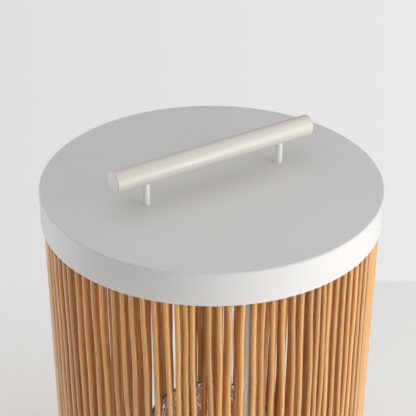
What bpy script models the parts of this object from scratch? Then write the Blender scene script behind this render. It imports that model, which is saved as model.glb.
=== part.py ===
"""Round garden lantern: a corded wire cage with a lift-off lid and a candle glass.

Blender 4.5, metres, +Z up. The origin is at the bottom centre, on the floor
under the four feet. The handle bar lies along X.
"""

import math

import bpy

# --- Driving dimensions -----------------------------------------------------

BODY_RADIUS = 0.140          # outside of the lid and of the base tray
LID_TOP = 0.424              # height of the lid's flat top
SKIRT_HEIGHT = 0.0283        # depth of the lid, and of the tray
SHEET = 0.0015               # steel sheet of the lid and the tray
EDGE_ROUND = 0.0016          # pressed edge between the flat and the skirt

HANDLE_BAR_RADIUS = 0.0087
HANDLE_BAR_LENGTH = 0.186
HANDLE_BAR_RISE = 0.0273     # bar axis above the lid
HANDLE_BAR_BEVEL = 0.0010
HANDLE_SHIFT_X = -0.0010     # the handle stands a little off the lid's middle
HANDLE_SHIFT_Y = -0.0056
POST_SPACING = 0.128
POST_RADIUS = 0.0030

CORD_OUTSIDE = 0.1379        # outer radius of the corded wall
CORD_DIAMETER = 0.0045
ROD_RADIUS = 0.0027          # rings and uprights of the cage
UPRIGHT_COUNT = 4
FIRST_UPRIGHT_ANGLE = math.radians(-21.4)

FOOT_RADIUS = 0.0080
FOOT_HEIGHT = 0.0080
FOOT_EASE = 0.0010           # taper and eased edge of the rubber
STUD_END = 0.0010            # steel left above the stud's thread

GLASS_RADIUS = 0.0560
GLASS_RIM = 0.1730           # height of the glass rim above the floor
GLASS_WALL = 0.0030
GLASS_BASE = 0.0060
GLASS_HEEL = 0.0040          # rounding between the wall and the base
GLASS_SLACK = 0.0015         # between the glass and its locating ring
GLASS_RING_HEIGHT = 0.0100
PAD_THICKNESS = 0.0020

CANDLE_RADIUS = 0.0360
CANDLE_HEIGHT = 0.0800
CANDLE_BEVEL = 0.0025
WICK_RADIUS = 0.0011
WICK_LENGTH = 0.0180
WICK_BURIED = 0.0080

# Machine screws: M4 under the lid, M3 through the feet.
LID_SHANK = 0.0019
LID_HEAD_RADIUS = 0.0037
LID_HEAD_HEIGHT = 0.0024
LID_SHANK_IN_POST = 0.0080
WASHER_RADIUS = 0.0050
WASHER_THICKNESS = 0.0008
FOOT_SHANK = 0.0014
FOOT_HEAD_RADIUS = 0.0028
FOOT_HEAD_HEIGHT = 0.0018
FOOT_RECESS_DEPTH = 0.0030
HEX_SOCKET_SHARE = 0.45      # socket radius as a share of the head's
HEX_SOCKET_DEPTH = 0.0012

GAP = 0.0003                 # between touching pieces
LID_PLAY = 0.0005            # between the cords' top and the lid
TRAY_PLAY = 0.0010           # between the cords' lower loops and the tray

ROUND_STEPS = 72             # facets of the large turned pieces
GLASS_STEPS = 48
CANDLE_STEPS = 32
BAR_STEPS = 24
POST_STEPS = 20
SMALL_STEPS = 16
ROD_SIDES = 10
RING_SIDES = 8

# --- Heights and radii that follow from them --------------------------------

TRAY_FLOOR = FOOT_HEIGHT + SHEET
TRAY_RIM = FOOT_HEIGHT + SKIRT_HEIGHT
LID_UNDERSIDE = LID_TOP - SHEET
CORD_TOP = LID_UNDERSIDE - LID_PLAY
CORD_BOTTOM = TRAY_FLOOR + TRAY_PLAY
RING_RADIUS = CORD_OUTSIDE - CORD_DIAMETER - GAP - ROD_RADIUS
CORD_INSIDE = RING_RADIUS - ROD_RADIUS - GAP - CORD_DIAMETER
TOP_RING_Z = CORD_TOP - CORD_DIAMETER - GAP - ROD_RADIUS
BOTTOM_RING_Z = CORD_BOTTOM + CORD_DIAMETER + GAP + ROD_RADIUS
PAD_TOP = TRAY_FLOOR + GAP + PAD_THICKNESS
GLASS_BOTTOM = PAD_TOP + GAP
CANDLE_BOTTOM = GLASS_BOTTOM + GLASS_BASE + GAP
CANDLE_TOP = CANDLE_BOTTOM + CANDLE_HEIGHT
BAR_AXIS_Z = LID_TOP + HANDLE_BAR_RISE


# --- Scene, collections and materials ---------------------------------------

def clear_scene():
    for leftover in list(bpy.data.objects):
        bpy.data.objects.remove(leftover, do_unlink=True)


def new_collection(name):
    collection = bpy.data.collections.new(name)
    bpy.context.scene.collection.children.link(collection)
    return collection


def srgb(hex_colour):
    """Turn a six-digit sRGB colour into the linear RGBA that Blender mixes."""
    values = [int(hex_colour[i:i + 2], 16) / 255 for i in (0, 2, 4)]
    linear = [v / 12.92 if v <= 0.04045 else ((v + 0.055) / 1.055) ** 2.4 for v in values]
    return (*linear, 1.0)


def principled(name, hex_colour, roughness, metallic=0.0, transmission=0.0):
    material = bpy.data.materials.new(name)
    material.use_nodes = True
    shader = material.node_tree.nodes["Principled BSDF"]
    shader.inputs["Base Color"].default_value = srgb(hex_colour)
    shader.inputs["Roughness"].default_value = roughness
    shader.inputs["Metallic"].default_value = metallic
    shader.inputs["Transmission Weight"].default_value = transmission
    material.diffuse_color = srgb(hex_colour)
    return material


# --- Modelling helpers ------------------------------------------------------

def place(piece, name, parent, material, collection):
    """Name a finished object, move it to its collection and parent it."""
    piece.name = name
    piece.data.name = name
    for owner in list(piece.users_collection):
        owner.objects.unlink(piece)
    collection.objects.link(piece)
    piece.data.materials.clear()
    piece.data.materials.append(material)
    piece.parent = parent
    if parent is not None:
        piece.location -= parent.location
    return piece


def smooth(piece, sharp_angle=35):
    piece.data.shade_smooth()
    piece.data.set_sharp_from_angle(angle=math.radians(sharp_angle))


def apply_modifiers(piece):
    """Keep the modelled shape as the object's own mesh, so its edges can be shaded."""
    bpy.context.view_layer.update()
    evaluated = piece.evaluated_get(bpy.context.evaluated_depsgraph_get())
    mesh = bpy.data.meshes.new_from_object(evaluated)
    piece.modifiers.clear()
    piece.data = mesh
    mesh.name = piece.name


def corner_arc(centre_r, centre_z, radius, start_degrees, end_degrees, points=4):
    """Profile points of a rounded corner, including both of its ends."""
    arc = []
    for i in range(points):
        angle = math.radians(start_degrees + (end_degrees - start_degrees) * i / (points - 1))
        arc.append((centre_r + radius * math.cos(angle), centre_z + radius * math.sin(angle)))
    return arc


def annulus(outer, inner, top, bottom):
    """Closed profile of a plain ring, for turned()."""
    return [(outer, top), (outer, bottom), (inner, bottom), (inner, top)]


def turned(name, profile, steps, parent, material, closed=False, centre=(0.0, 0.0)):
    """Turn an (r, z) profile about Z. Its outer side runs from top to bottom."""
    mesh = bpy.data.meshes.new(name)
    edges = [(i, i + 1) for i in range(len(profile) - 1)]
    if closed:
        edges.append((len(profile) - 1, 0))
    mesh.from_pydata([(r, 0.0, z) for r, z in profile], edges, [])
    piece = bpy.data.objects.new(name, mesh)
    piece.location = (*centre, 0.0)
    screw = piece.modifiers.new("Turn", "SCREW")
    screw.axis = "Z"
    screw.angle = math.tau
    screw.steps = steps
    screw.render_steps = steps
    screw.use_merge_vertices = True
    screw.merge_threshold = 0.00001
    weld = piece.modifiers.new("Close the poles", "WELD")
    weld.merge_threshold = 0.00001
    place(piece, name, parent, material, parts)
    apply_modifiers(piece)
    smooth(piece)
    return piece


def rod(name, radius, bottom, top, centre, parent, material, sides=ROD_SIDES):
    bpy.ops.mesh.primitive_cylinder_add(
        vertices=sides, radius=radius, depth=top - bottom,
        location=(*centre, (top + bottom) / 2))
    piece = bpy.context.object
    smooth(piece)
    return place(piece, name, parent, material, parts)


def cutter_cylinder(name, radius, depth, location, vertices=SMALL_STEPS, along_x=False):
    rotation = (0.0, math.pi / 2, 0.0) if along_x else (0.0, 0.0, 0.0)
    bpy.ops.mesh.primitive_cylinder_add(
        vertices=vertices, radius=radius, depth=depth, location=location, rotation=rotation)
    cutter = bpy.context.object
    place(cutter, name, None, cutter_material, cutters)
    cutter.hide_render = True
    cutter.display_type = "WIRE"
    return cutter


def cut(piece, cutter):
    boolean = piece.modifiers.new("Cut " + cutter.name, "BOOLEAN")
    boolean.operation = "DIFFERENCE"
    boolean.solver = "EXACT"
    boolean.object = cutter


def button_screw(name, shank_radius, head_radius, head_height, head_bottom, tip, centre,
                 parent, material):
    """A screw driven from below: domed head at the bottom, hex socket in the head."""
    head_top = head_bottom + head_height
    point = shank_radius / 5
    dome = head_radius / 5
    profile = [
        (0.0, tip),
        (shank_radius - point, tip),
        (shank_radius, tip - 2 * point),
        (shank_radius, head_top),
        (head_radius, head_top),
        (head_radius, head_bottom + head_height / 2),
        (head_radius - dome, head_bottom),
        (0.0, head_bottom),
    ]
    screw = turned(name, profile, SMALL_STEPS, parent, material, centre=centre)
    socket = cutter_cylinder(
        name + "_socket", head_radius * HEX_SOCKET_SHARE, 2 * HEX_SOCKET_DEPTH,
        (*centre, head_bottom), vertices=6)
    cut(screw, socket)
    return screw


def upright_places():
    for i in range(UPRIGHT_COUNT):
        angle = FIRST_UPRIGHT_ANGLE + math.tau * i / UPRIGHT_COUNT
        yield i + 1, (RING_RADIUS * math.cos(angle), RING_RADIUS * math.sin(angle))


# --- The lid and its handle -------------------------------------------------

def make_lid(parent):
    inside = BODY_RADIUS - SHEET
    profile = [(0.0, LID_TOP)]
    profile += corner_arc(BODY_RADIUS - EDGE_ROUND, LID_TOP - EDGE_ROUND, EDGE_ROUND, 90, 0)
    profile += [
        (BODY_RADIUS, LID_TOP - SKIRT_HEIGHT),
        (inside, LID_TOP - SKIRT_HEIGHT),
        (inside, LID_UNDERSIDE),
        (0.0, LID_UNDERSIDE),
    ]
    white = principled("Lid powder coat", "DAD7D4", 0.55)
    lid = turned("lid_cap", profile, ROUND_STEPS, parent, white)
    for side, centre in post_places():
        hole = cutter_cylinder("lid_hole_" + side, LID_SHANK + GAP, 4 * SHEET,
                               (*centre, LID_TOP))
        cut(lid, hole)


def post_places():
    for side, along in (("left", -POST_SPACING / 2), ("right", POST_SPACING / 2)):
        yield side, (HANDLE_SHIFT_X + along, HANDLE_SHIFT_Y)


def make_handle(parent):
    cream = principled("Handle bar paint", "F1EEE8", 0.45)
    bpy.ops.mesh.primitive_cylinder_add(
        vertices=BAR_STEPS, radius=HANDLE_BAR_RADIUS, depth=HANDLE_BAR_LENGTH,
        location=(HANDLE_SHIFT_X, HANDLE_SHIFT_Y, BAR_AXIS_Z),
        rotation=(0.0, math.pi / 2, 0.0))
    bar = bpy.context.object
    bevel = bar.modifiers.new("Eased ends", "BEVEL")
    bevel.width = HANDLE_BAR_BEVEL
    bevel.segments = 2
    bevel.limit_method = "ANGLE"
    bevel.angle_limit = math.radians(60)
    smooth(bar, 40)
    place(bar, "handle_bar", parent, cream, parts)

    white = principled("Handle post paint", "F2F1EF", 0.45)
    for side, centre in post_places():
        post = rod("handle_post_" + side, POST_RADIUS, LID_TOP + GAP, BAR_AXIS_Z, centre,
                   parent, white, sides=POST_STEPS)
        saddle = cutter_cylinder(
            "saddle_" + side, HANDLE_BAR_RADIUS + GAP, 4 * POST_RADIUS, (*centre, BAR_AXIS_Z),
            vertices=BAR_STEPS, along_x=True)
        cut(post, saddle)
        thread = cutter_cylinder(
            "post_thread_" + side, LID_SHANK + GAP, 2 * (LID_SHANK_IN_POST + GAP),
            (*centre, LID_TOP))
        cut(post, thread)


def make_handle_fixings(parent):
    zinc = principled("Zinc plated screw", "B9BABC", 0.35, metallic=1.0)
    washer_zinc = principled("Zinc plated washer", "B4B5B7", 0.4, metallic=1.0)
    washer_top = LID_UNDERSIDE - GAP
    washer_bottom = washer_top - WASHER_THICKNESS
    for side, centre in post_places():
        bore = LID_SHANK + GAP
        ring = annulus(WASHER_RADIUS, bore, washer_top, washer_bottom)
        turned("handle_washer_" + side, ring, SMALL_STEPS, parent, washer_zinc, closed=True,
               centre=centre)
        head_bottom = washer_bottom - GAP - LID_HEAD_HEIGHT
        button_screw("handle_screw_" + side, LID_SHANK, LID_HEAD_RADIUS, LID_HEAD_HEIGHT,
                     head_bottom, LID_TOP + LID_SHANK_IN_POST, centre, parent, zinc)


# --- The wire cage and its cord winding -------------------------------------

def make_cage(parent):
    steel = principled("Cage powder coat", "F3F2F0", 0.5)
    for name, height in (("top_ring", TOP_RING_Z), ("bottom_ring", BOTTOM_RING_Z)):
        bpy.ops.mesh.primitive_torus_add(
            major_radius=RING_RADIUS, minor_radius=ROD_RADIUS,
            major_segments=ROUND_STEPS, minor_segments=RING_SIDES, location=(0.0, 0.0, height))
        ring = bpy.context.object
        ring.data.shade_smooth()
        place(ring, name, parent, steel, parts)

    foot_of_rod = BOTTOM_RING_Z + ROD_RADIUS + GAP
    head_of_rod = TOP_RING_Z - ROD_RADIUS - GAP
    for number, centre in upright_places():
        rod(f"upright_{number}", ROD_RADIUS, foot_of_rod, head_of_rod, centre, parent, steel)


def make_cord_winding(parent):
    """One long cord, wound round both rings, as four plain solids: the strands
    outside and inside the uprights, and the loops over and under the rings."""
    outer_cord = principled("Outer cord", "D9A873", 0.85)
    inner_cord = principled("Inner cord", "B98452", 0.85)
    loop_cord = principled("Looped cord", "CB9862", 0.85)
    top_loops = CORD_TOP - CORD_DIAMETER
    bottom_loops = CORD_BOTTOM + CORD_DIAMETER
    walls = (
        ("cord_outer_strands", CORD_OUTSIDE, outer_cord),
        ("cord_inner_strands", CORD_INSIDE + CORD_DIAMETER, inner_cord),
    )
    for name, outer, material in walls:
        wall = annulus(outer, outer - CORD_DIAMETER, top_loops - GAP, bottom_loops + GAP)
        turned(name, wall, ROUND_STEPS, parent, material, closed=True)

    over = annulus(CORD_OUTSIDE, CORD_INSIDE, CORD_TOP, top_loops)
    turned("cord_top_loops", over, ROUND_STEPS, parent, loop_cord, closed=True)

    under = annulus(CORD_OUTSIDE, CORD_INSIDE, bottom_loops, CORD_BOTTOM)
    lower = turned("cord_bottom_loops", under, ROUND_STEPS, parent, loop_cord, closed=True)
    for number, centre in upright_places():
        stud_way = cutter_cylinder(f"stud_way_{number}", ROD_RADIUS + GAP, 4 * CORD_DIAMETER,
                                   (*centre, CORD_BOTTOM))
        cut(lower, stud_way)


# --- The base tray, its feet and their fixings ------------------------------

def make_base_tray(parent):
    inside = BODY_RADIUS - SHEET
    profile = [
        (0.0, TRAY_FLOOR),
        (inside, TRAY_FLOOR),
        (inside, TRAY_RIM),
        (BODY_RADIUS, TRAY_RIM),
    ]
    profile += corner_arc(BODY_RADIUS - EDGE_ROUND, FOOT_HEIGHT + EDGE_ROUND, EDGE_ROUND, 0, -90)
    profile.append((0.0, FOOT_HEIGHT))
    white = principled("Tray powder coat", "DCD9D6", 0.55)
    tray = turned("base_tray", profile, ROUND_STEPS, parent, white)
    for number, centre in upright_places():
        hole = cutter_cylinder(f"tray_hole_{number}", FOOT_SHANK + GAP, 4 * SHEET,
                               (*centre, FOOT_HEIGHT))
        cut(tray, hole)


def make_feet(parent):
    stud_steel = principled("Cage stud powder coat", "EFEEEC", 0.5)
    foot_rubber = principled("Foot rubber", "2B2A29", 0.8)
    zinc = principled("Zinc plated foot screw", "B9BABC", 0.35, metallic=1.0)
    bore = FOOT_SHANK + GAP
    stud_top = BOTTOM_RING_Z - ROD_RADIUS - GAP
    stud_bottom = TRAY_FLOOR + GAP
    thread_end = stud_top - STUD_END
    foot_top = FOOT_HEIGHT - GAP
    recess = FOOT_HEAD_RADIUS + 2 * GAP
    stud_profile = [
        (0.0, stud_top),
        (ROD_RADIUS, stud_top),
        (ROD_RADIUS, stud_bottom),
        (bore, stud_bottom),
        (bore, thread_end),
        (0.0, thread_end),
    ]
    foot_profile = [
        (FOOT_RADIUS - FOOT_EASE, foot_top),
        (FOOT_RADIUS, foot_top - FOOT_EASE),
        (FOOT_RADIUS - FOOT_EASE / 2, FOOT_EASE),
        (FOOT_RADIUS - 1.5 * FOOT_EASE, 0.0),
        (recess, 0.0),
        (recess, FOOT_RECESS_DEPTH),
        (bore, FOOT_RECESS_DEPTH),
        (bore, foot_top),
    ]
    head_bottom = FOOT_RECESS_DEPTH - GAP - FOOT_HEAD_HEIGHT
    for number, centre in upright_places():
        turned(f"cage_stud_{number}", stud_profile, SMALL_STEPS, parent, stud_steel,
               centre=centre)
        turned(f"foot_{number}", foot_profile, POST_STEPS, parent, foot_rubber, closed=True,
               centre=centre)
        button_screw(f"foot_screw_{number}", FOOT_SHANK, FOOT_HEAD_RADIUS, FOOT_HEAD_HEIGHT,
                     head_bottom, thread_end - GAP, centre, parent, zinc)


# --- The glass, its seat and the candle -------------------------------------

def make_glass_seat(parent):
    steel = principled("Locating ring powder coat", "EDECEA", 0.5)
    inside = GLASS_RADIUS + GLASS_SLACK
    outside = inside + SHEET
    bottom = TRAY_FLOOR + GAP
    ring = annulus(outside, inside, bottom + GLASS_RING_HEIGHT, bottom)
    turned("glass_ring", ring, GLASS_STEPS, parent, steel, closed=True)

    felt = principled("Grey felt", "8C8A86", 0.95)
    pad = [
        (0.0, PAD_TOP),
        (inside - GAP, PAD_TOP),
        (inside - GAP, TRAY_FLOOR + GAP),
        (0.0, TRAY_FLOOR + GAP),
    ]
    turned("glass_pad", pad, GLASS_STEPS, parent, felt)


def make_glass(parent):
    clear_glass = principled("Clear glass", "F4F8F6", 0.03, transmission=1.0)
    inside = GLASS_RADIUS - GLASS_WALL
    lip = GLASS_WALL / 2
    floor = GLASS_BOTTOM + GLASS_BASE
    profile = [(0.0, floor), (inside - GLASS_HEEL, floor), (inside, floor + GLASS_HEEL)]
    profile += corner_arc(GLASS_RADIUS - lip, GLASS_RIM - lip, lip, 180, 0, points=5)
    profile += corner_arc(GLASS_RADIUS - GLASS_HEEL, GLASS_BOTTOM + GLASS_HEEL, GLASS_HEEL, 0, -90)
    profile.append((0.0, GLASS_BOTTOM))
    turned("glass_hurricane", profile, GLASS_STEPS, parent, clear_glass)


def make_candle(parent):
    wax = principled("Ivory wax", "F1E8D6", 0.5)
    profile = [(0.0, CANDLE_TOP)]
    profile += corner_arc(CANDLE_RADIUS - CANDLE_BEVEL, CANDLE_TOP - CANDLE_BEVEL, CANDLE_BEVEL,
                          90, 0, points=3)
    profile += corner_arc(CANDLE_RADIUS - CANDLE_BEVEL, CANDLE_BOTTOM + CANDLE_BEVEL,
                          CANDLE_BEVEL, 0, -90, points=3)
    profile.append((0.0, CANDLE_BOTTOM))
    candle = turned("candle", profile, CANDLE_STEPS, parent, wax)
    wick_bottom = CANDLE_TOP - WICK_BURIED
    wick_hole = cutter_cylinder("wick_hole", WICK_RADIUS + GAP, 2 * (WICK_BURIED + GAP),
                                (0.0, 0.0, CANDLE_TOP), vertices=SMALL_STEPS)
    cut(candle, wick_hole)

    cotton = principled("Waxed cotton wick", "E9E2D2", 0.9)
    rod("wick", WICK_RADIUS, wick_bottom, wick_bottom + WICK_LENGTH, (0.0, 0.0), parent, cotton)


# --- Assembly ---------------------------------------------------------------

def body_empty(name, height):
    """An empty on a body's lift axis, which that body's pieces hang from."""
    empty = bpy.data.objects.new(name, None)
    empty.location = (0.0, 0.0, height)
    empty.empty_display_size = 0.03
    parts.objects.link(empty)
    return empty


clear_scene()
parts = new_collection("corded_garden_lantern")
cutters = new_collection("cutters")
cutter_material = principled("Cutter", "FF8800", 0.5)

frame_body = body_empty("frame_body", 0.0)
lid_body = body_empty("lid_body", LID_TOP)
glass_body = body_empty("glass_body", GLASS_BOTTOM)
candle_body = body_empty("candle_body", CANDLE_BOTTOM)

make_lid(lid_body)
make_handle(lid_body)
make_handle_fixings(lid_body)
make_cage(frame_body)
make_cord_winding(frame_body)
make_base_tray(frame_body)
make_feet(frame_body)
make_glass_seat(frame_body)
make_glass(glass_body)
make_candle(candle_body)
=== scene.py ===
"""Corded garden lantern: the finished surfaces around its fixed frame.

A white pressed-steel lid with a bar handle sits on a cage of steel wire. One
long cord is wound over the cage's two rings. A hammered glass and a candle
stand inside. Metres, +Z up, the handle along X.
"""

import math
import random

import bmesh
import bpy
from mathutils import Euler, Matrix, Vector, noise


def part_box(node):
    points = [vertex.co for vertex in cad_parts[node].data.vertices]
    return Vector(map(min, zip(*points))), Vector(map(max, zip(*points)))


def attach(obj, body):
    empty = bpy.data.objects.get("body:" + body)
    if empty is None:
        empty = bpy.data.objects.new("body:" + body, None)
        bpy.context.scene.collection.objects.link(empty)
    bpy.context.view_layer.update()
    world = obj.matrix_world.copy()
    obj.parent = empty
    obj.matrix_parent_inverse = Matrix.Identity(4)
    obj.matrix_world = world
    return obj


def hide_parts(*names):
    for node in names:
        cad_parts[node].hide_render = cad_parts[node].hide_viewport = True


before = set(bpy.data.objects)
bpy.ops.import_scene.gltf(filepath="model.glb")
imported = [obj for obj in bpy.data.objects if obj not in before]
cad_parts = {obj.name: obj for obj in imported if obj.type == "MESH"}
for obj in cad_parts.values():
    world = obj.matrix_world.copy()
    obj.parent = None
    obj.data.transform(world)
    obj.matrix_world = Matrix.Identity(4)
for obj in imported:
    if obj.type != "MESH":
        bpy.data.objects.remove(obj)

bl_info = {
    "name": "Corded garden lantern",
    "version": (1, 0, 0),
    "blender": (4, 5, 0),
    "location": "3D View > Sidebar > Lantern",
    "description": "Builds the finished surfaces of a corded garden lantern round its frame",
    "category": "Object",
}

MM = 0.001
WHOLE_TURN = math.tau

# Rounding of a cut hem, and inside a fold of the sheet.
HEM_EASE = 0.45 * MM
FOLD_EASE = 0.6 * MM

# Facets round a ring of wire, and round a cord.
RING_FACETS = 160
CORD_SIDES = 12

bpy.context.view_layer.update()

# --- Places and sizes that the frame gives ----------------------------------


def middle(node):
    """Centre of a frame node's box."""
    low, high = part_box(node)
    return (low + high) / 2


def span(node):
    """Size of a frame node's box along the three axes."""
    low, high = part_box(node)
    return high - low


LID_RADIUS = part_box("lid_cap")[1].x
LID_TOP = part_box("lid_cap")[1].z
LID_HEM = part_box("lid_cap")[0].z
TRAY_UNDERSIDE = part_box("base_tray")[0].z
TRAY_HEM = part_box("base_tray")[1].z

BAR_RADIUS = span("handle_bar").z / 2
BAR_LENGTH = span("handle_bar").x
BAR_HEIGHT = middle("handle_bar").z
POST_RADIUS = span("handle_post_left").x / 2

CORD_THICK = span("cord_top_loops").z
ROD_RADIUS = span("top_ring").z / 2
RING_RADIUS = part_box("top_ring")[1].x - ROD_RADIUS
TOP_RING = middle("top_ring").z
BOTTOM_RING = middle("bottom_ring").z
LOOP_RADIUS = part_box("cord_top_loops")[1].x - CORD_THICK / 2 - RING_RADIUS
UPRIGHTS = [middle(f"upright_{number}") for number in range(1, 5)]
FEET = [middle(f"foot_{number}") for number in range(1, 5)]
FIRST_UPRIGHT = math.atan2(UPRIGHTS[0].y, UPRIGHTS[0].x)

# Where each turn of the cord crosses the top ring, then the bottom ring: degrees round
# the axis from the first upright. The spacing is uneven, and no turn goes under the
# bottom ring where one of the four studs is.
TURNS = (
    (2.6, 4.1), (5.9, 8.2), (9.8, 11.2), (13.2, 15.2), (17.0, 18.4), (20.6, 22.1), (23.6, 25.9),
    (27.1, 28.6), (31.5, 33.5), (34.5, 36.3), (38.0, 39.5), (41.0, 43.2), (46.9, 48.4),
    (50.5, 52.5), (54.0, 55.8), (57.0, 58.4), (59.5, 60.8), (63.8, 65.1), (67.3, 67.5),
    (73.5, 73.7), (75.8, 76.1), (79.1, 80.5), (82.1, 82.9), (85.3, 85.2), (88.5, 87.6),
    (91.9, 92.4), (95.2, 96.0), (98.2, 99.5), (100.8, 102.7), (106.6, 108.6), (110.5, 112.2),
    (114.3, 116.2), (118.0, 120.2), (121.4, 123.3), (125.2, 126.6), (128.2, 129.6),
    (132.2, 134.5), (135.4, 137.2), (139.5, 141.0), (143.0, 145.3), (145.8, 147.7),
    (149.4, 151.5), (153.1, 155.3), (157.4, 159.0), (160.5, 162.1), (164.2, 166.4),
    (167.5, 168.9), (171.3, 172.9), (174.7, 175.2), (178.4, 177.6), (182.7, 184.6),
    (186.5, 188.4), (190.2, 192.1), (193.8, 195.7), (197.4, 199.3), (200.9, 202.8),
    (204.3, 207.2), (208.9, 209.8), (212.8, 214.1), (216.8, 218.6), (220.5, 222.6),
    (225.2, 226.2), (228.7, 230.2), (232.1, 233.9), (236.0, 238.3), (239.7, 242.4),
    (243.7, 245.6), (247.4, 248.2), (249.9, 250.5), (252.1, 253.7), (257.2, 259.6),
    (260.5, 262.0), (263.4, 265.2), (268.0, 267.6), (271.4, 272.9), (274.4, 275.2),
    (277.5, 280.1), (281.0, 284.1), (284.6, 288.2), (287.7, 290.5), (291.4, 294.0),
    (294.3, 296.3), (296.6, 299.7), (299.0, 302.0), (302.9, 304.4), (306.3, 309.7),
    (309.9, 312.6), (313.6, 315.5), (317.2, 319.1), (320.9, 322.8), (324.5, 326.4),
    (328.1, 330.0), (331.8, 333.7), (335.4, 337.3), (339.0, 340.9), (342.7, 344.6),
    (346.3, 348.2), (349.9, 351.8), (353.6, 355.2), (357.6, 357.6),
)


# --- Colour, nodes and materials --------------------------------------------


def linear(hex_colour):
    """Turn a six-digit sRGB colour into the linear RGBA that Blender mixes."""
    values = [int(hex_colour[i:i + 2], 16) / 255 for i in (0, 2, 4)]
    return (*[v / 12.92 if v <= 0.04045 else ((v + 0.055) / 1.055) ** 2.4 for v in values], 1.0)


def add(material, kind, inputs=None, **settings):
    """Add one node. Inputs maps a socket to its value or to the socket that feeds it."""
    node = material.node_tree.nodes.new("ShaderNode" + kind)
    for name, value in settings.items():
        setattr(node, name, value)
    for socket, value in (inputs or {}).items():
        if isinstance(value, bpy.types.NodeSocket):
            material.node_tree.links.new(value, node.inputs[socket])
        else:
            node.inputs[socket].default_value = value
    return node


def finish(name, colour, roughness, **sockets):
    """A new material and its shader, with the values that are the same all over."""
    material = bpy.data.materials.new(name)
    material.use_nodes = True
    shader = material.node_tree.nodes["Principled BSDF"]
    shader.inputs["Base Color"].default_value = colour
    shader.inputs["Roughness"].default_value = roughness
    for socket, value in sockets.items():
        shader.inputs[socket.replace("_", " ")].default_value = value
    material.diffuse_color = colour
    return material, shader


def feed(material, source, shader, socket):
    """Link one node's output to the shader."""
    material.node_tree.links.new(source, shader.inputs[socket])


def object_place(material):
    """Coordinates in metres, the same for every piece."""
    return add(material, "TexCoord").outputs["Object"]


def shade(colour, factor):
    """The colour made lighter or darker, its alpha kept."""
    return (*[min(1.0, channel * factor) for channel in colour[:3]], 1.0)


def powder_coat(name, colour, roughness=0.55):
    """Powder coat: polyester powder baked on steel. It gives a matt white with a faint
    orange peel and hardly any reflection."""
    material, shader = finish(name, colour, roughness, Specular_IOR_Level=0.35)
    place = object_place(material)
    clouds = add(material, "TexNoise", {"Vector": place, "Scale": 16.0, "Detail": 3.0})
    tint = add(material, "Mix", {0: clouds.outputs["Fac"], 6: shade(colour, 0.965),
                                 7: shade(colour, 1.03)}, data_type="RGBA")
    feed(material, tint.outputs[2], shader, "Base Color")
    # Orange peel is about 2 mm across. It is drawn a little deeper than it is, to show.
    peel = add(material, "TexNoise", {"Vector": place, "Scale": 480.0, "Detail": 2.0})
    grain = add(material, "TexNoise", {"Vector": place, "Scale": 1900.0, "Detail": 1.0})
    relief = add(material, "Math", {0: peel.outputs["Fac"], 1: grain.outputs["Fac"]},
                 operation="ADD")
    bump = add(material, "Bump", {"Strength": 0.5, "Distance": 0.02 * MM,
                                  "Height": relief.outputs[0]})
    feed(material, bump.outputs[0], shader, "Normal")
    gloss = add(material, "MapRange", {"Value": grain.outputs["Fac"], "To Min": roughness - 0.05,
                                       "To Max": roughness + 0.05})
    feed(material, gloss.outputs[0], shader, "Roughness")
    return material


def satin_paint(name, colour):
    """Baked enamel: sprayed on the turned handle. It gives a warm white, and a gloss that
    picks up the bright lid along the bar's lower side."""
    material, shader = finish(name, colour, 0.42, Specular_IOR_Level=0.5, Coat_Weight=1.0,
                              Coat_Roughness=0.42)
    place = object_place(material)
    clouds = add(material, "TexNoise", {"Vector": place, "Scale": 45.0, "Detail": 4.0})
    tint = add(material, "Mix", {0: clouds.outputs["Fac"], 6: shade(colour, 0.96),
                                 7: shade(colour, 1.03)}, data_type="RGBA")
    feed(material, tint.outputs[2], shader, "Base Color")
    flow = add(material, "TexNoise", {"Vector": place, "Scale": 700.0, "Detail": 2.0})
    bump = add(material, "Bump", {"Strength": 0.4, "Distance": 0.02 * MM,
                                  "Height": flow.outputs["Fac"]})
    feed(material, bump.outputs[0], shader, "Normal")
    return material


def wrapped_cord(name, light, groove_shade):
    """Waxed wrapped cotton cord: fine yarn wound tightly round a core. It gives close
    cross ribs, a soft pale gloss down the lit side and a warm brown glow in the shade.
    The grooves between the ribs are painted darker, as painted shade."""
    material, shader = finish(name, light, 0.36, Specular_IOR_Level=1.0, Coat_Weight=1.0,
                              Coat_Roughness=0.3, Subsurface_Weight=0.7,
                              Subsurface_Scale=0.004)
    shader.inputs["Subsurface Radius"].default_value = (1.0, 0.5, 0.25)
    along = add(material, "Attribute", attribute_name="cord_length").outputs["Fac"]
    tone = add(material, "Attribute", attribute_name="cord_tone").outputs["Fac"]
    place = object_place(material)
    drift = add(material, "TexNoise", {"Vector": place, "Scale": 200.0, "Detail": 2.0})
    # The yarn is 0.95 mm thick. The ribs are drawn further apart, or they wouldn't show.
    rib_pitch = 1.4 * MM
    turns = add(material, "Math", {0: along, 1: WHOLE_TURN / rib_pitch}, operation="MULTIPLY")
    wander = add(material, "Math", {0: drift.outputs["Fac"], 1: 2.5, 2: turns.outputs[0]},
                 operation="MULTIPLY_ADD")
    wave = add(material, "Math", {0: wander.outputs[0]}, operation="SINE")
    rib = add(material, "MapRange", {"Value": wave.outputs[0], "From Min": -1.0})
    fibre = add(material, "TexNoise", {"Vector": place, "Scale": 1500.0, "Detail": 3.0})
    height = add(material, "Math", {0: fibre.outputs["Fac"], 1: 0.35, 2: rib.outputs[0]},
                 operation="MULTIPLY_ADD")
    # Painted shade: the grooves between the ribs get the darker colour, the rib tops the lighter
    # one.
    body = add(material, "Mix", {0: rib.outputs[0], 6: groove_shade, 7: light}, data_type="RGBA")
    worn = add(material, "Mix", {0: tone, 6: body.outputs[2], 7: shade(light, 1.12)},
               data_type="RGBA")
    feed(material, worn.outputs[2], shader, "Base Color")
    bump = add(material, "Bump", {"Strength": 0.8, "Distance": 0.4 * MM,
                                  "Height": height.outputs[0]})
    feed(material, bump.outputs[0], shader, "Normal")
    return material


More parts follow.
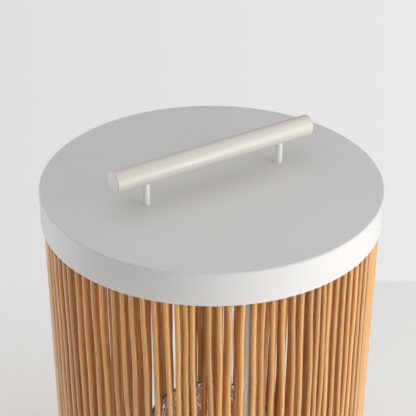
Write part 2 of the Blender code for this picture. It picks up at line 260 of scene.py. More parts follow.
def pressed_glass(name, tint):
    """Soda-lime glass, hammered in the mould and crackled: clear, with small cells that
    each catch the light their own way. Each cell's tint is also painted a touch darker
    or lighter at random, as painted shade of its facet."""
    material, shader = finish(name, tint, 0.03, IOR=1.5, Transmission_Weight=0.97)
    place = object_place(material)
    cells = add(material, "TexVoronoi", {"Vector": place, "Scale": 230.0})
    # Painted shade: each cell's tint is a random touch darker, standing in for the light its
    # facet catches.
    look = add(material, "Mix", {0: cells.outputs["Color"], 6: shade(tint, 0.95), 7: tint},
               data_type="RGBA")
    feed(material, look.outputs[2], shader, "Base Color")
    bump = add(material, "Bump", {"Strength": 0.5, "Distance": 0.5 * MM,
                                  "Height": cells.outputs["Distance"]})
    feed(material, bump.outputs[0], shader, "Normal")
    return material


def candle_wax(name, colour):
    """Paraffin wax, poured: light goes a little way in, so edges glow. Faint mottling."""
    material, shader = finish(name, colour, 0.48, Subsurface_Weight=0.6, Subsurface_Scale=0.004,
                              Specular_IOR_Level=0.4)
    shader.inputs["Subsurface Radius"].default_value = (1.0, 0.7, 0.45)
    place = object_place(material)
    mottle = add(material, "TexNoise", {"Vector": place, "Scale": 110.0, "Detail": 5.0})
    tint = add(material, "Mix", {0: mottle.outputs["Fac"], 6: shade(colour, 0.93),
                                 7: shade(colour, 1.05)}, data_type="RGBA")
    feed(material, tint.outputs[2], shader, "Base Color")
    bump = add(material, "Bump", {"Strength": 0.3, "Distance": 0.1 * MM,
                                  "Height": mottle.outputs["Fac"]})
    feed(material, bump.outputs[0], shader, "Normal")
    return material


def cotton_braid(name, colour):
    """Waxed cotton: three strands braided. Matt, with a fine slant of fibre."""
    material, shader = finish(name, colour, 0.9, Sheen_Weight=0.2)
    place = object_place(material)
    slant = add(material, "Mapping", {"Vector": place, "Rotation": (0.0, 0.6, 0.4)})
    fibre = add(material, "TexWave", {"Vector": slant.outputs[0], "Scale": 900.0,
                                      "Distortion": 2.0}, bands_direction="Z")
    tint = add(material, "Mix", {0: fibre.outputs["Fac"], 6: shade(colour, 0.8), 7: colour},
               data_type="RGBA")
    feed(material, tint.outputs[2], shader, "Base Color")
    bump = add(material, "Bump", {"Strength": 0.5, "Distance": 0.1 * MM,
                                  "Height": fibre.outputs["Fac"]})
    feed(material, bump.outputs[0], shader, "Normal")
    return material


def wool_felt(name, colour):
    """Pressed felt: short fibres with no direction. It gives a dull grey with light flecks."""
    material, shader = finish(name, colour, 0.96, Sheen_Weight=0.4, Specular_IOR_Level=0.1)
    place = object_place(material)
    fibre = add(material, "TexNoise", {"Vector": place, "Scale": 900.0, "Detail": 6.0,
                                       "Distortion": 1.5})
    tint = add(material, "Mix", {0: fibre.outputs["Fac"], 6: shade(colour, 0.6),
                                 7: shade(colour, 1.4)}, data_type="RGBA")
    feed(material, tint.outputs[2], shader, "Base Color")
    bump = add(material, "Bump", {"Strength": 0.8, "Distance": 0.4 * MM,
                                  "Height": fibre.outputs["Fac"]})
    feed(material, bump.outputs[0], shader, "Normal")
    return material


def moulded_rubber(name, colour):
    """Moulded rubber: near black and dull, with the fine grain of the mould."""
    material, shader = finish(name, colour, 0.75, Specular_IOR_Level=0.3)
    place = object_place(material)
    grain = add(material, "TexNoise", {"Vector": place, "Scale": 1200.0, "Detail": 3.0})
    tint = add(material, "Mix", {0: grain.outputs["Fac"], 6: shade(colour, 0.8),
                                 7: shade(colour, 1.3)}, data_type="RGBA")
    feed(material, tint.outputs[2], shader, "Base Color")
    bump = add(material, "Bump", {"Strength": 0.4, "Distance": 0.1 * MM,
                                  "Height": grain.outputs["Fac"]})
    feed(material, bump.outputs[0], shader, "Normal")
    return material


def zinc_plate(name, colour):
    """Bright zinc plating on steel screws: a cool grey metal with cloudy gloss."""
    material, shader = finish(name, colour, 0.32, Metallic=1.0)
    place = object_place(material)
    clouds = add(material, "TexNoise", {"Vector": place, "Scale": 700.0, "Detail": 4.0})
    tint = add(material, "Mix", {0: clouds.outputs["Fac"], 6: shade(colour, 0.85),
                                 7: shade(colour, 1.1)}, data_type="RGBA")
    feed(material, tint.outputs[2], shader, "Base Color")
    gloss = add(material, "MapRange", {"Value": clouds.outputs["Fac"], "To Min": 0.24,
                                       "To Max": 0.42})
    feed(material, gloss.outputs[0], shader, "Roughness")
    return material


# --- Making and placing pieces ----------------------------------------------


def piece_from(bm, name, material, body, replaced, sharp=35):
    """Turn a finished bmesh into a piece that rides on its body."""
    mesh = bpy.data.meshes.new(name)
    bm.to_mesh(mesh)
    bm.free()
    piece_of(mesh, name, material, body, replaced, sharp)


def piece_of(mesh, name, material, body, replaced, sharp=35):
    """Give a mesh its object, material and body, and hide the nodes it stands for."""
    mesh.name = name
    mesh.materials.clear()
    mesh.materials.append(material)
    mesh.shade_smooth()
    mesh.set_sharp_from_angle(angle=math.radians(sharp))
    piece = bpy.data.objects.new(name, mesh)
    bpy.context.scene.collection.objects.link(piece)
    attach(piece, body)
    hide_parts(*replaced)


def outline(bm, points, rounds=None):
    """Draw a turned piece's outline. Rounds maps a corner's number to its rounding in metres."""
    corners = [bm.verts.new((radius, 0.0, height)) for radius, height in points]
    for pair in zip(corners, corners[1:]):
        bm.edges.new(pair)
    for number, size in (rounds or {}).items():
        bmesh.ops.bevel(bm, geom=[corners[number]], offset=size, offset_type="OFFSET",
                        segments=4, profile=0.5, affect="VERTICES", material=-1)


def turn_round(bm, steps):
    """Spin everything drawn so far once round the vertical axis and close it."""
    bmesh.ops.spin(bm, geom=bm.verts[:] + bm.edges[:], cent=(0, 0, 0), axis=(0, 0, 1),
                   dvec=(0, 0, 0), angle=WHOLE_TURN, steps=steps, use_merge=True)
    bmesh.ops.remove_doubles(bm, verts=bm.verts[:], dist=0.001 * MM)
    bmesh.ops.recalc_face_normals(bm, faces=bm.faces[:])


def tube(points, thickness, sides, closed=False):
    """A mesh tube along the points, from a curve with a round bevel."""
    curve = bpy.data.curves.new("cord_line", "CURVE")
    curve.dimensions = "3D"
    curve.bevel_mode = "ROUND"
    curve.bevel_depth = thickness / 2
    curve.bevel_resolution = max(0, sides // 2 - 2)
    curve.use_fill_caps = not closed
    spline = curve.splines.new("POLY")
    spline.points.add(len(points) - 1)
    for place, point in zip(points, spline.points):
        point.co = (*place, 1.0)
    spline.use_cyclic_u = closed
    holder = bpy.data.objects.new("cord_line", curve)
    mesh = bpy.data.meshes.new_from_object(holder)
    bpy.data.objects.remove(holder)
    bpy.data.curves.remove(curve)
    return mesh


def polar(radius, angle, height):
    """A point at that radius and angle about the lantern's axis."""
    return Vector((radius * math.cos(angle), radius * math.sin(angle), height))


# --- Settings ---------------------------------------------------------------


class LanternLid(bpy.types.PropertyGroup):
    """Lid and tray"""
    sheet: bpy.props.FloatProperty(
        name="Sheet", description="Thickness of the pressed steel", default=1.5 * MM,
        unit="LENGTH")
    edge: bpy.props.FloatProperty(
        name="Pressed edge", description="Rounding between the flat top and the skirt",
        default=1.6 * MM, unit="LENGTH")
    steps: bpy.props.IntProperty(
        name="Steps", description="Facets round the lid and the tray", default=240, min=48)
    colour: bpy.props.FloatVectorProperty(
        name="Coat", description="Colour of the powder coat", subtype="COLOR", size=4,
        min=0.0, max=1.0, default=linear("dddbda"))


class LanternHandle(bpy.types.PropertyGroup):
    """Handle bar and posts"""
    ease: bpy.props.FloatProperty(
        name="Eased ends", description="Rounding of the bar's ends", default=1.0 * MM,
        unit="LENGTH")
    bar_colour: bpy.props.FloatVectorProperty(
        name="Bar paint", description="Colour of the bar", subtype="COLOR", size=4,
        min=0.0, max=1.0, default=linear("dbd7d0"))
    # The posts are white, and their paint is set lighter still, brighter than the lid's coat, as
    # painted light.
    post_colour: bpy.props.FloatVectorProperty(
        name="Post paint", description="Colour of the posts", subtype="COLOR", size=4,
        min=0.0, max=1.0, default=linear("f5f4f2"))


class LanternCord(bpy.types.PropertyGroup):
    """Cord winding and cage"""
    sway: bpy.props.FloatProperty(
        name="Sway", description="How far a strand strays sideways from a straight line",
        default=1.6 * MM, unit="LENGTH")
    seed: bpy.props.IntProperty(
        name="Seed", description="Start of the turns' difference in tone", default=7)
    light: bpy.props.FloatVectorProperty(
        name="Cord", description="Colour on the ribs", subtype="COLOR", size=4,
        min=0.0, max=1.0, default=linear("dca551"))
    # Painted shade: the darker colour painted into the grooves between the ribs.
    groove_shade: bpy.props.FloatVectorProperty(
        name="Cord grooves", description="Colour between the ribs", subtype="COLOR", size=4,
        min=0.0, max=1.0, default=linear("a8691c"))
    cage: bpy.props.FloatVectorProperty(
        name="Cage", description="Colour of the rings and uprights", subtype="COLOR", size=4,
        min=0.0, max=1.0, default=linear("eeecea"))


class LanternGlass(bpy.types.PropertyGroup):
    """Glass, its seat and the candle"""
    wall: bpy.props.FloatProperty(
        name="Wall", description="Thickness of the glass", default=3.0 * MM, unit="LENGTH")
    dimple: bpy.props.FloatProperty(
        name="Dimple", description="Distance between two hammered dimples", default=5.0 * MM,
        unit="LENGTH")
    depth: bpy.props.FloatProperty(
        name="Dimple depth", description="Depth of a dimple", default=0.5 * MM, unit="LENGTH")
    tint: bpy.props.FloatVectorProperty(
        name="Glass", description="Tint of the glass", subtype="COLOR", size=4,
        min=0.0, max=1.0, default=linear("fefdfc"))
    wax: bpy.props.FloatVectorProperty(
        name="Wax", description="Colour of the candle", subtype="COLOR", size=4,
        min=0.0, max=1.0, default=linear("f1e8d6"))


class LanternStage(bpy.types.PropertyGroup):
    """Camera, floor and light"""
    azimuth: bpy.props.FloatProperty(
        name="Azimuth", description="Side the camera looks from", subtype="ANGLE",
        default=math.radians(-33.4))
    elevation: bpy.props.FloatProperty(
        name="Elevation", description="Height of the camera above the lid's plane",
        subtype="ANGLE", default=math.radians(28.92))
    distance: bpy.props.FloatProperty(
        name="Distance", description="Camera to the middle of the lid's top",
        default=987.84 * MM, unit="LENGTH")
    pan: bpy.props.FloatProperty(
        name="Pan", description="Camera turned from the lid's middle", subtype="ANGLE",
        default=math.radians(-0.194))
    tilt: bpy.props.FloatProperty(
        name="Tilt", description="Camera's slope", subtype="ANGLE",
        default=math.radians(-30.277))
    roll: bpy.props.FloatProperty(
        name="Roll", description="Camera's turn about its view", subtype="ANGLE",
        default=math.radians(0.167))
    lens: bpy.props.FloatProperty(
        name="Lens", description="Focal length in millimetres", default=104.92)
    floor_back: bpy.props.FloatProperty(
        name="Floor behind", description="Floor's edge behind the lantern's axis",
        default=487 * MM, unit="LENGTH")
    floor_front: bpy.props.FloatProperty(
        name="Floor in front", description="Floor's edge in front and at the sides",
        default=1600 * MM, unit="LENGTH")
    floor: bpy.props.FloatVectorProperty(
        name="Floor", description="Colour of the floor", subtype="COLOR", size=4,
        min=0.0, max=1.0, default=linear("fbfaf9"))
    wall_light: bpy.props.FloatProperty(
        name="Wall light", description="How much of the wall's light reaches the lantern",
        default=0.25)
    ceiling_light: bpy.props.FloatProperty(
        name="Ceiling light", description="How much of the ceiling's light reaches it",
        default=0.85)
    wall: bpy.props.FloatVectorProperty(
        name="Wall", description="Colour of the far wall", subtype="COLOR", size=4,
        min=0.0, max=1.0, default=linear("e5e4e2"))


# --- Operators, one for each piece or group of like pieces -------------------


class LANTERN_OT_lid(bpy.types.Operator):
    """Pressed lid: a flat top, a pressed edge, a deep skirt and an eased hem"""
    bl_idname = "lantern.lid"
    bl_label = "Lid"

    def execute(self, context):
        lid = context.scene.lantern_lid
        inside = LID_RADIUS - lid.sheet
        under = LID_TOP - lid.sheet
        bm = bmesh.new()
        outline(bm, [(0, LID_TOP), (LID_RADIUS, LID_TOP), (LID_RADIUS, LID_HEM),
                     (inside, LID_HEM), (inside, under), (0, under)],
                {1: lid.edge, 2: HEM_EASE, 3: HEM_EASE, 4: FOLD_EASE})
        turn_round(bm, lid.steps)
        piece_from(bm, "lid_shell", powder_coat("Lid powder coat", lid.colour), "lid",
                   ["lid_cap"])
        return {"FINISHED"}


class LANTERN_OT_handle(bpy.types.Operator):
    """Handle: a round bar with eased ends on two posts, each cut to the bar's round"""
    bl_idname = "lantern.handle"
    bl_label = "Handle"

    def execute(self, context):
        handle = context.scene.lantern_handle
        bm = bmesh.new()
        bmesh.ops.create_cone(bm, cap_ends=True, segments=64, radius1=BAR_RADIUS,
                              radius2=BAR_RADIUS, depth=BAR_LENGTH)
        ends = [edge for edge in bm.edges if len({round(v.co.z, 4) for v in edge.verts}) == 1]
        bmesh.ops.bevel(bm, geom=ends, offset=handle.ease, offset_type="OFFSET", segments=4,
                        profile=0.5, affect="EDGES", material=-1)
        faces = [face for face in bm.faces if len(face.verts) > 8]
        bmesh.ops.inset_region(bm, faces=faces, thickness=0.5 * MM)
        bmesh.ops.rotate(bm, verts=bm.verts[:], cent=(0, 0, 0),
                         matrix=Matrix.Rotation(math.pi / 2, 3, "Y"))
        bmesh.ops.translate(bm, verts=bm.verts[:], vec=middle("handle_bar"))
        paint = satin_paint("Handle bar enamel", handle.bar_colour)
        piece_from(bm, "grip_bar", paint, "lid", ["handle_bar"])

        post_paint = satin_paint("Handle post enamel", handle.post_colour)
        foot_ease, sunk = 0.3 * MM, 0.1 * MM
        for side in ("left", "right"):
            centre = middle("handle_post_" + side)
            bm = bmesh.new()
            foot = POST_RADIUS - foot_ease
            bmesh.ops.create_circle(bm, cap_ends=True, segments=40, radius=foot)
            bmesh.ops.translate(bm, verts=bm.verts[:], vec=(centre.x, centre.y, LID_TOP))
            for rise, spread in ((foot_ease, 1 + foot_ease / foot),
                                 (BAR_HEIGHT - LID_TOP, 1.0)):
                top = max(bm.faces, key=lambda face: face.calc_center_median().z)
                raised = bmesh.ops.extrude_face_region(bm, geom=[top])["geom"]
                ring = [part for part in raised if isinstance(part, bmesh.types.BMVert)]
                bmesh.ops.translate(bm, verts=ring, vec=(0, 0, rise))
                bmesh.ops.scale(bm, verts=ring, vec=(spread, spread, 1),
                                space=Matrix.Translation((-centre.x, -centre.y, 0)))
            for vertex in ring:
                across = vertex.co.y - middle("handle_bar").y
                saddle = BAR_RADIUS ** 2 - min(across ** 2, BAR_RADIUS ** 2)
                vertex.co.z = BAR_HEIGHT - math.sqrt(saddle) + sunk
            bmesh.ops.recalc_face_normals(bm, faces=bm.faces[:])
            piece_from(bm, "grip_post_" + side, post_paint, "lid",
                       ["handle_post_" + side])
        return {"FINISHED"}


class LANTERN_OT_fixings(bpy.types.Operator):
    """Screws, washers and studs: the frame's own shapes, in zinc and in white coat"""
    bl_idname = "lantern.fixings"
    bl_label = "Fixings"

    def execute(self, context):
        zinc = zinc_plate("Zinc plated screw", linear("b9babc"))
        washer = zinc_plate("Zinc plated washer", linear("b1b2b5"))
        coat = powder_coat("Stud powder coat", context.scene.lantern_cord.cage)
        for name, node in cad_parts.items():
            if "_screw_" in name or "_washer_" in name or name.startswith("cage_stud_"):
                look = zinc if "_screw_" in name else washer if "_washer_" in name else coat
                node.data.materials.clear()
                node.data.materials.append(look)
        return {"FINISHED"}


class LANTERN_OT_cage(bpy.types.Operator):
    """Wire cage: two rings and four uprights welded between them"""
    bl_idname = "lantern.cage"
    bl_label = "Cage"

    def execute(self, context):
        coat = powder_coat("Cage powder coat", context.scene.lantern_cord.cage, 0.5)
        for name, node, height in (("hoop_top", "top_ring", TOP_RING),
                                   ("hoop_bottom", "bottom_ring", BOTTOM_RING)):
            bm = bmesh.new()
            bmesh.ops.create_circle(bm, segments=20, radius=ROD_RADIUS)
            bmesh.ops.rotate(bm, verts=bm.verts[:], cent=(0, 0, 0),
                             matrix=Matrix.Rotation(math.pi / 2, 3, "X"))
            bmesh.ops.translate(bm, verts=bm.verts[:], vec=(RING_RADIUS, 0, height))
            turn_round(bm, RING_FACETS)
            piece_from(bm, name, coat, "frame", [node])

        weld = 0.6 * ROD_RADIUS
        for number, centre in enumerate(UPRIGHTS, 1):
            bm = bmesh.new()
            bmesh.ops.create_cone(bm, cap_ends=True, segments=24, radius1=ROD_RADIUS,
                                  radius2=ROD_RADIUS, depth=TOP_RING - BOTTOM_RING - 2 * weld)
            ends = [edge for edge in bm.edges if len({round(v.co.z, 4) for v in edge.verts}) == 1]
            bmesh.ops.bevel(bm, geom=ends, offset=0.4 * MM, offset_type="OFFSET", segments=2,
                            profile=0.5, affect="EDGES", material=-1)
            bmesh.ops.translate(bm, verts=bm.verts[:],
                                vec=(centre.x, centre.y, (TOP_RING + BOTTOM_RING) / 2))
            piece_from(bm, f"stake_{number}", coat, "frame", [f"upright_{number}"])
        return {"FINISHED"}


class LANTERN_OT_cord(bpy.types.Operator):
    """Cord winding: one cord, down outside and up inside, over and under the two rings"""
    bl_idname = "lantern.cord"
    bl_label = "Cord winding"

    def execute(self, context):
        cord = context.scene.lantern_cord
        turns = [[FIRST_UPRIGHT + math.radians(place) for place in turn] for turn in TURNS]
        points, tones = [], []
        chance = random.Random(cord.seed)
        for number, (top, bottom) in enumerate(turns):
            last = number == len(turns) - 1
            after = turns[0][0] + WHOLE_TURN if last else turns[number + 1][0]
            tone = chance.random()
            before = len(points)
            self.run(points, RING_RADIUS + LOOP_RADIUS, (top, TOP_RING), (bottom, BOTTOM_RING),
                     cord.sway)
            self.loop(points, bottom, BOTTOM_RING, 0, -math.pi)
            self.run(points, RING_RADIUS - LOOP_RADIUS, (bottom, BOTTOM_RING), (after, TOP_RING),
                     cord.sway)
            self.loop(points, after, TOP_RING, math.pi, 0)
            tones += [tone] * (len(points) - before)
        mesh = tube(points, CORD_THICK, CORD_SIDES, closed=True)
        self.mark(mesh, points, tones)
        look = wrapped_cord("Wrapped cotton cord", cord.light, cord.groove_shade)
        piece_of(mesh, "cord_winding", look, "frame",
                 ["cord_outer_strands", "cord_inner_strands", "cord_top_loops",
                  "cord_bottom_loops"], 80)
        return {"FINISHED"}

    def run(self, points, radius, start, end, sway, count=18):
        """A strand between the rings, from one angle and height to another. It strays a
        little to each side on the way."""
        for i in range(count):
            share = i / (count - 1)
            angle, height = (a + (b - a) * share for a, b in zip(start, end))
            free = min(1.0, 8 * share, 8 * (1 - share))
            stray = noise.noise(Vector((start[0] * 40, radius * 100, height * 16)))
            points.append(polar(radius, angle + free * sway * stray / radius, height))

    def loop(self, points, angle, height, start, end, count=7):
        """Half a turn round a ring."""
        for i in range(1, count + 1):
            lie = start + (end - start) * i / (count + 1)
            points.append(polar(RING_RADIUS + LOOP_RADIUS * math.cos(lie), angle,
                                height + LOOP_RADIUS * math.sin(lie)))

    def mark(self, mesh, points, tones):
        """Give every vertex its length along the cord and its turn's tone."""
        around = len(mesh.vertices) // len(points)
        if around * len(points) != len(mesh.vertices):
            raise RuntimeError("the cord's rings don't match its points")
        lengths = [0.0]
        for one, two in zip(points, points[1:]):
            lengths.append(lengths[-1] + (two - one).length)
        for name, values in (("cord_length", lengths), ("cord_tone", tones)):
            attribute = mesh.attributes.new(name, "FLOAT", "POINT")
            attribute.data.foreach_set("value", [v for v in values for _ in range(around)])


class LANTERN_OT_tray(bpy.types.Operator):
    """Base tray: the lid's pressing turned over, and its four rubber feet"""
    bl_idname = "lantern.tray"
    bl_label = "Tray and feet"

    def execute(self, context):
        lid = context.scene.lantern_lid
        inside = LID_RADIUS - lid.sheet
        floor = TRAY_UNDERSIDE + lid.sheet
        bm = bmesh.new()
        outline(bm, [(0, floor), (inside, floor), (inside, TRAY_HEM), (LID_RADIUS, TRAY_HEM),
                     (LID_RADIUS, TRAY_UNDERSIDE), (0, TRAY_UNDERSIDE)],
                {1: FOLD_EASE, 2: HEM_EASE, 3: HEM_EASE, 4: lid.edge})
        turn_round(bm, lid.steps)
        piece_from(bm, "tray_shell", powder_coat("Tray powder coat", lid.colour), "frame",
                   ["base_tray"])

        rubber = moulded_rubber("Moulded foot rubber", linear("2b2a29"))
        bore, recess, recess_depth = 1.7 * MM, 3.4 * MM, 3.0 * MM
        for number, centre in enumerate(FEET, 1):
            low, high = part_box(f"foot_{number}")
            radius = (high.x - low.x) / 2
            bm = bmesh.new()
            outline(bm, [(bore, high.z), (radius, high.z), (radius - 0.6 * MM, low.z),
                         (recess, low.z), (recess, recess_depth), (bore, recess_depth),
                         (bore, high.z)],
                    {1: 0.8 * MM, 2: 1.0 * MM, 3: 0.4 * MM})
            turn_round(bm, 40)
            bmesh.ops.translate(bm, verts=bm.verts[:], vec=(centre.x, centre.y, 0))
            piece_from(bm, f"rubber_foot_{number}", rubber, "frame",
                       [f"foot_{number}"])
        return {"FINISHED"}


class LANTERN_OT_glass_seat(bpy.types.Operator):
    """Glass seat: the locating ring welded in the tray and the felt pad in it"""
    bl_idname = "lantern.glass_seat"
    bl_label = "Glass seat"

    def execute(self, context):
        low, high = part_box("glass_ring")
        sheet = context.scene.lantern_lid.sheet
        bm = bmesh.new()
        outline(bm, [(high.x - sheet, low.z), (high.x, low.z), (high.x, high.z),
                     (high.x - sheet, high.z), (high.x - sheet, low.z)],
                {2: 0.6 * MM, 3: 0.6 * MM})
        turn_round(bm, 128)
        coat = powder_coat("Locating ring powder coat", context.scene.lantern_cord.cage)
        piece_from(bm, "seat_ring", coat, "frame", ["glass_ring"])

        low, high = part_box("glass_pad")
        bm = bmesh.new()
        outline(bm, [(0, high.z), (high.x, high.z), (high.x, low.z), (0, low.z)],
                {1: 0.7 * MM, 2: 0.3 * MM})
        turn_round(bm, 96)
        felt = wool_felt("Grey wool felt", linear("a9a7a2"))
        piece_from(bm, "felt_pad", felt, "frame", ["glass_pad"])
        return {"FINISHED"}


class LANTERN_OT_glass(bpy.types.Operator):
    """Glass: an open, straight-sided hurricane with a hammered outside and a round lip"""
    bl_idname = "lantern.glass"
    bl_label = "Glass"

    def execute(self, context):
        glass = context.scene.lantern_glass
        low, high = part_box("glass_hurricane")
        radius, lip = high.x, glass.wall / 2
        base, heel = 6.0 * MM, 4.0 * MM
        inside, floor = radius - glass.wall, low.z + base
        rows = 60
        outer = [(radius, low.z + (high.z - lip - low.z) * i / rows) for i in range(1, rows + 1)]
        over = [(radius - lip + lip * math.cos(a), high.z - lip + lip * math.sin(a))
                for a in (math.pi * i / 8 for i in range(1, 8))]
        inner = [(inside, high.z - lip - (high.z - lip - floor) * i / 12) for i in range(0, 13)]
        bm = bmesh.new()
        outline(bm, [(0, low.z), (radius, low.z), *outer, *over, *inner, (0, floor)],
                {1: heel, 1 + rows + len(over) + len(inner): heel})
        turn_round(bm, RING_FACETS)
        for vertex in bm.verts:
            self.hammer(vertex, glass, radius, low.z, high.z - lip)
        bmesh.ops.recalc_face_normals(bm, faces=bm.faces[:])
        clear = pressed_glass("Hammered soda-lime glass", glass.tint)
        piece_from(bm, "hammered_glass", clear, "glass", ["glass_hurricane"], 60)
        return {"FINISHED"}

    def hammer(self, vertex, glass, radius, low, high):
        """Press the outside in where a dimple is. The lip and the heel stay plain."""
        plain_heel, plain_lip = 8 * MM, 3 * MM
        out = Vector((vertex.co.x, vertex.co.y, 0))
        if out.length < radius - 0.2 * MM:
            return
        near = noise.voronoi(vertex.co / glass.dimple, distance_metric="DISTANCE")[0]
        dish = 1 - min(1.0, near[0] / 0.75) ** 2
        ends = min(1.0, (vertex.co.z - low) / plain_heel, (high - vertex.co.z) / plain_lip)
        vertex.co -= out.normalized() * glass.depth * dish * max(0.0, ends)


class LANTERN_OT_candle(bpy.types.Operator):
    """Candle: a poured pillar with rounded edges and a braided wick"""
    bl_idname = "lantern.candle"
    bl_label = "Candle and wick"

    def execute(self, context):
        low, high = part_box("candle")
        radius = high.x
        wick_low, wick_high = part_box("wick")
        wick_radius = wick_high.x
        well = wick_radius + 0.2 * MM
        bm = bmesh.new()
        rows = 24
        side = [(radius, high.z - (high.z - low.z) * i / rows) for i in range(1, rows)]
        outline(bm, [(0, wick_low.z), (well, wick_low.z), (well, high.z - 1.2 * MM),
                     (radius * 0.35, high.z - 0.8 * MM), (radius * 0.75, high.z - 0.1 * MM),
                     (radius, high.z), *side, (radius, low.z), (0, low.z)],
                {3: 2 * MM, 5: 2.2 * MM, 5 + rows: 2.2 * MM})
        turn_round(bm, 120)
        for vertex in bm.verts:
            wave = noise.noise(vertex.co * 60) * 0.15 * MM
            vertex.co -= Vector((vertex.co.x, vertex.co.y, 0)).normalized() * abs(wave)
        wax = candle_wax("Ivory paraffin wax", context.scene.lantern_glass.wax)
        piece_from(bm, "pillar_candle", wax, "candle", ["candle"])

        bm = bmesh.new()
        strand = wick_radius * 0.52
        strands, twists, steps = 3, 3.5, 48
        for number in range(strands):
            start = number * WHOLE_TURN / strands
            line = []
            for i in range(steps + 1):
                turn = start + i / steps * twists * WHOLE_TURN
                height = wick_low.z + strand + (wick_high.z - wick_low.z - 2 * strand) * i / steps
                line.append(polar(wick_radius - strand, turn, height))
            mesh = tube(line, 2 * strand, 10)
            bm.from_mesh(mesh)
            bpy.data.meshes.remove(mesh)
        bmesh.ops.recalc_face_normals(bm, faces=bm.faces[:])
        cotton = cotton_braid("Waxed cotton braid", linear("e9e2d2"))
        piece_from(bm, "braided_wick", cotton, "candle", ["wick"])
        return {"FINISHED"}


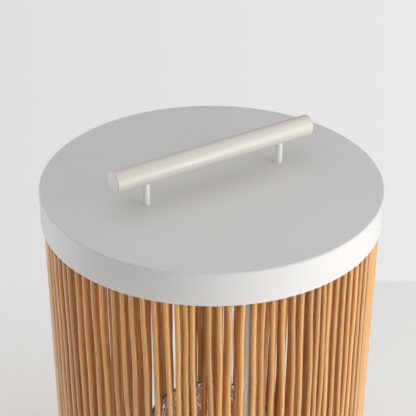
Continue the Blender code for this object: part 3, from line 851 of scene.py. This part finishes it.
class LANTERN_OT_stage(bpy.types.Operator):
    """Stage: pale floor, far wall, soft light from the right, and the camera"""
    bl_idname = "lantern.stage"
    bl_label = "Stage"

    def execute(self, context):
        stage = context.scene.lantern_stage
        self.floor(stage)
        self.wall(context.scene, stage)
        self.lights(stage)
        self.camera(context.scene, stage)
        context.scene.view_settings.view_transform = "Standard"
        return {"FINISHED"}

    def floor(self, stage):
        """A thin slab whose back edge lies behind the lantern."""
        bm = bmesh.new()
        bmesh.ops.create_cube(bm, size=1.0)
        depth, thick = stage.floor_back + stage.floor_front, 10 * MM
        bmesh.ops.scale(bm, verts=bm.verts[:], vec=(2 * stage.floor_front, depth, thick))
        bmesh.ops.translate(bm, verts=bm.verts[:],
                            vec=(0, stage.floor_back - depth / 2, -thick / 2))
        bmesh.ops.rotate(bm, verts=bm.verts[:], cent=(0, 0, 0),
                         matrix=Matrix.Rotation(stage.azimuth, 3, "Z"))
        mesh = bpy.data.meshes.new("floor")
        bm.to_mesh(mesh)
        bm.free()
        material, shader = finish("Painted board", stage.floor, 0.7)
        place = object_place(material)
        clouds = add(material, "TexNoise", {"Vector": place, "Scale": 6.0, "Detail": 3.0})
        tint = add(material, "Mix", {0: clouds.outputs["Fac"], 6: shade(stage.floor, 0.985),
                                     7: shade(stage.floor, 1.01)}, data_type="RGBA")
        feed(material, tint.outputs[2], shader, "Base Color")
        mesh.materials.append(material)
        slab = bpy.data.objects.new("floor", mesh)
        bpy.context.scene.collection.objects.link(slab)

    def wall(self, scene, stage):
        """The far wall is the world's own colour, a little brighter to the right, seen
        straight or through the glass. What falls on the lantern is weaker, and comes
        mostly from the ceiling."""
        world = bpy.data.worlds.new("Pale studio")
        world.use_nodes = True
        scene.world = world
        background = world.node_tree.nodes["Background"]
        direction = add(world, "TexCoord").outputs["Generated"]
        right = (math.cos(stage.azimuth), math.sin(stage.azimuth), 0.0)
        across = add(world, "VectorMath", {0: direction, 1: right}, operation="DOT_PRODUCT")
        wall = add(world, "MapRange", {"Value": across.outputs["Value"], "From Min": -0.16,
                                       "From Max": 0.16, "To Min": 0.95, "To Max": 1.04})
        height = add(world, "SeparateXYZ", {0: direction})
        ceiling = add(world, "MapRange", {"Value": height.outputs[2], "From Min": 0.3,
                                          "From Max": 0.9, "To Min": stage.wall_light,
                                          "To Max": stage.ceiling_light})
        path = add(world, "LightPath")
        seen = add(world, "Math", {0: path.outputs["Is Camera Ray"],
                                   1: path.outputs["Is Transmission Ray"]}, operation="MAXIMUM")
        strength = add(world, "Mix", {0: seen.outputs[0], 2: ceiling.outputs[0],
                                      3: wall.outputs[0]})
        background.inputs["Color"].default_value = stage.wall
        world.node_tree.links.new(strength.outputs[0], background.inputs["Strength"])

    def lights(self, stage):
        """Soft boxes: the large key on the right, one low beside it, weak ones on the left
        and in front, one overhead, and a very weak one under the lid. Each row is a name,
        degrees from the camera's side, distance, height, size and watts."""
        white, cool = (1.0, 1.0, 1.0), (0.95, 0.965, 1.0)
        aim = Vector((0, 0, 0.4))
        for name, side, reach, height, size, power in (
                ("key", 64, 1.9, 0.85, 1.4, 15.3), ("key_low", 54, 1.3, 0.24, 0.46, 4.6),
                ("front", 56, 1.9, 0.6, 1.0, 2.6), ("fill", -122, 1.9, 0.6, 1.5, 5.8),
                ("fill_low", -96, 1.3, 0.24, 0.46, 3.9), ("ceiling", 0, 0.0, 1.8, 3.0, 6.4),
                ("inside", 0, 0.0, 0.41, 0.16, 0.22)):
            data = bpy.data.lights.new(name, "AREA")
            data.shape = "SQUARE"
            data.size = size
            data.energy = power
            data.color = cool if name.startswith("fill") else white
            lamp = bpy.data.objects.new(name, data)
            turn = stage.azimuth + math.radians(side)
            lamp.location = (reach * math.sin(turn), -reach * math.cos(turn), height)
            back = lamp.location - aim
            lamp.rotation_euler = back.to_track_quat("Z", "Y").to_euler()
            bpy.context.scene.collection.objects.link(lamp)

    def camera(self, scene, stage):
        """A long lens that looks down on the lid from the front left."""
        data = bpy.data.cameras.new("camera")
        data.lens = stage.lens
        data.sensor_width = 36.0
        data.clip_start = 0.05
        camera = bpy.data.objects.new("camera", data)
        turn, up = stage.azimuth, stage.elevation
        back = Vector((math.sin(turn) * math.cos(up), -math.cos(turn) * math.cos(up),
                       math.sin(up)))
        camera.location = Vector((0, 0, LID_TOP)) + back * stage.distance
        facing = Euler((math.pi / 2 + stage.tilt, 0, turn - stage.pan)).to_matrix()
        camera.rotation_euler = (facing @ Matrix.Rotation(stage.roll, 3, "Z")).to_euler()
        scene.collection.objects.link(camera)
        scene.camera = camera


class LANTERN_PT_sidebar(bpy.types.Panel):
    """Lists the lantern's pieces"""
    bl_idname = "LANTERN_PT_sidebar"
    bl_label = "Corded garden lantern"
    bl_space_type = "VIEW_3D"
    bl_region_type = "UI"
    bl_category = "Lantern"

    def draw(self, context):
        for operator in OPERATORS:
            self.layout.operator(operator.bl_idname)
        for name in SETTINGS:
            box = self.layout.box()
            group = getattr(context.scene, name)
            for prop in group.bl_rna.properties:
                if prop.identifier not in ("rna_type", "name"):
                    box.prop(group, prop.identifier)


OPERATORS = (
    LANTERN_OT_lid, LANTERN_OT_handle, LANTERN_OT_fixings, LANTERN_OT_cage, LANTERN_OT_cord,
    LANTERN_OT_tray, LANTERN_OT_glass_seat, LANTERN_OT_glass, LANTERN_OT_candle,
    LANTERN_OT_stage,
)
SETTINGS = {
    "lantern_lid": LanternLid,
    "lantern_handle": LanternHandle,
    "lantern_cord": LanternCord,
    "lantern_glass": LanternGlass,
    "lantern_stage": LanternStage,
}


def register():
    """Add the settings, the operators and the panel."""
    for cls in (*SETTINGS.values(), *OPERATORS, LANTERN_PT_sidebar):
        bpy.utils.register_class(cls)
    for name, group in SETTINGS.items():
        setattr(bpy.types.Scene, name, bpy.props.PointerProperty(type=group))


def unregister():
    """Take them away again."""
    for name in SETTINGS:
        delattr(bpy.types.Scene, name)
    for cls in reversed((*SETTINGS.values(), *OPERATORS, LANTERN_PT_sidebar)):
        bpy.utils.unregister_class(cls)


def main():
    """Take away old cameras and lights, add the settings and operators, then run every operator
    in order.
    """
    for leftover in [o for o in bpy.data.objects if o.type in {"CAMERA", "LIGHT"}]:
        bpy.data.objects.remove(leftover)
    register()
    for operator in OPERATORS:
        group, name = operator.bl_idname.split(".")
        getattr(getattr(bpy.ops, group), name)()


if __name__ == "__main__":
    main()
